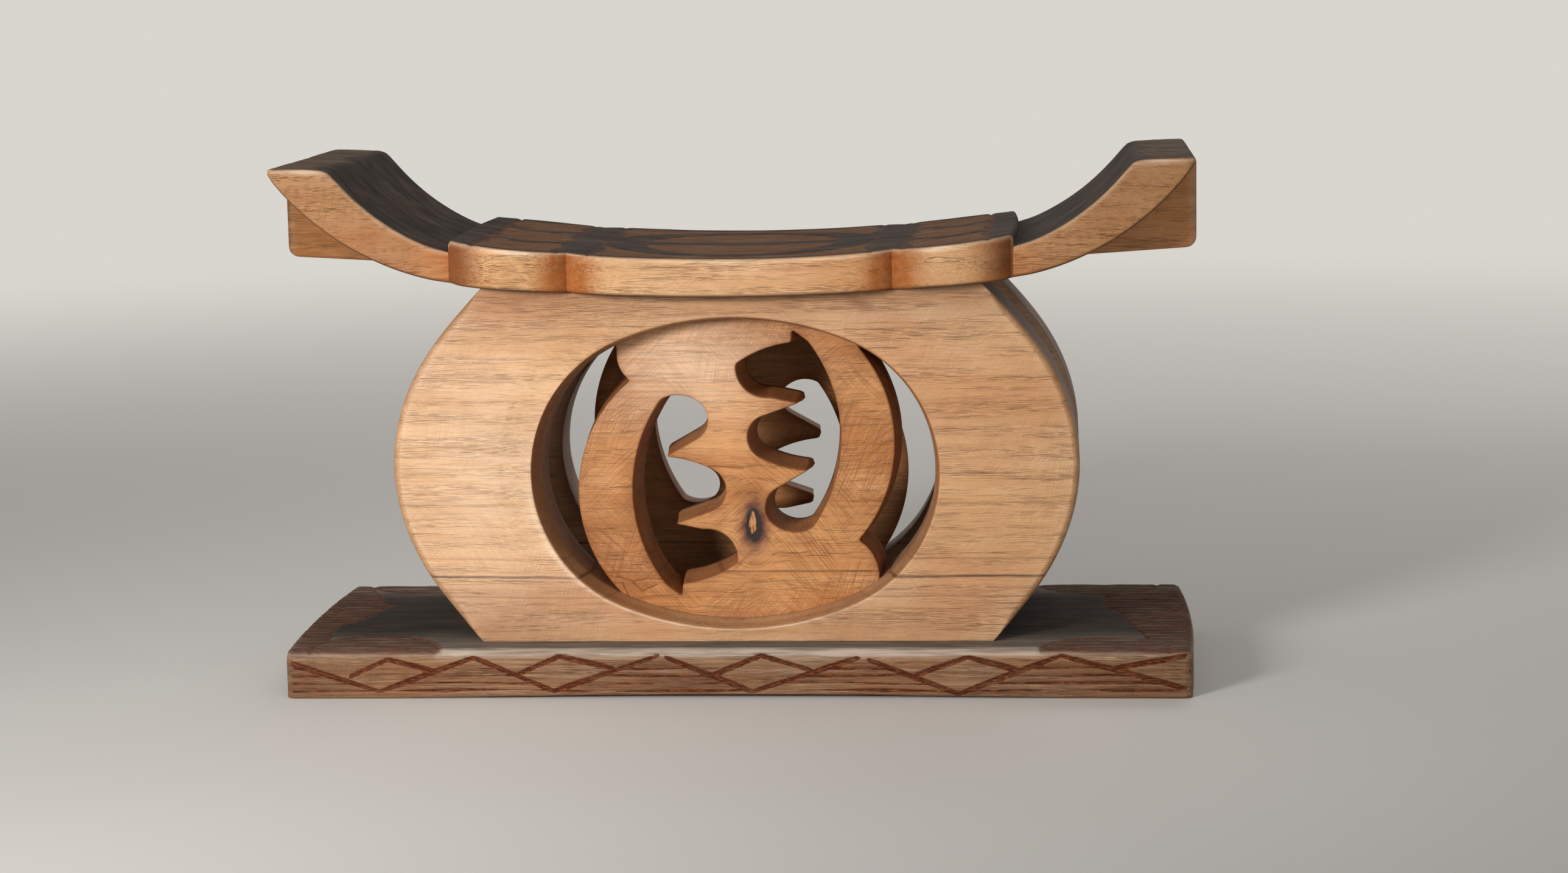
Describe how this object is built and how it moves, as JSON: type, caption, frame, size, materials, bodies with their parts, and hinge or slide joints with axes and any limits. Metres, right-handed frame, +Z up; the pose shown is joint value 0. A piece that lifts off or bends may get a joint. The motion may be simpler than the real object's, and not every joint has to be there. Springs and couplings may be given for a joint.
{
  "type": "ashanti stool",
  "caption": "Low carved West African stool: a saddle-curved seat with raised wings on pierced panels holding a traditional symbol, above a flat plank.",
  "frame": {"origin": "middle of the underside of the plank, on the floor", "axes": "+Z up; +X along the seat, the stool's long way; -Y is the front shown in the picture"},
  "size_m": [0.453, 0.172, 0.261],
  "materials": {
    "pale_hardwood": "satin",
    "weathered_hardwood": "satin",
    "dowel_wood": "matte"
  },
  "bodies": {
    "root": {"base": "weathered_hardwood", "front_panel": "pale_hardwood", "rear_panel": "pale_hardwood", "seat": "pale_hardwood", "left_wing_block": "pale_hardwood", "right_wing_block": "pale_hardwood", "base_dowels": "dowel_wood", "seat_dowels": "dowel_wood", "wing_block_dowels": "dowel_wood"}
  },
  "joints": []
}
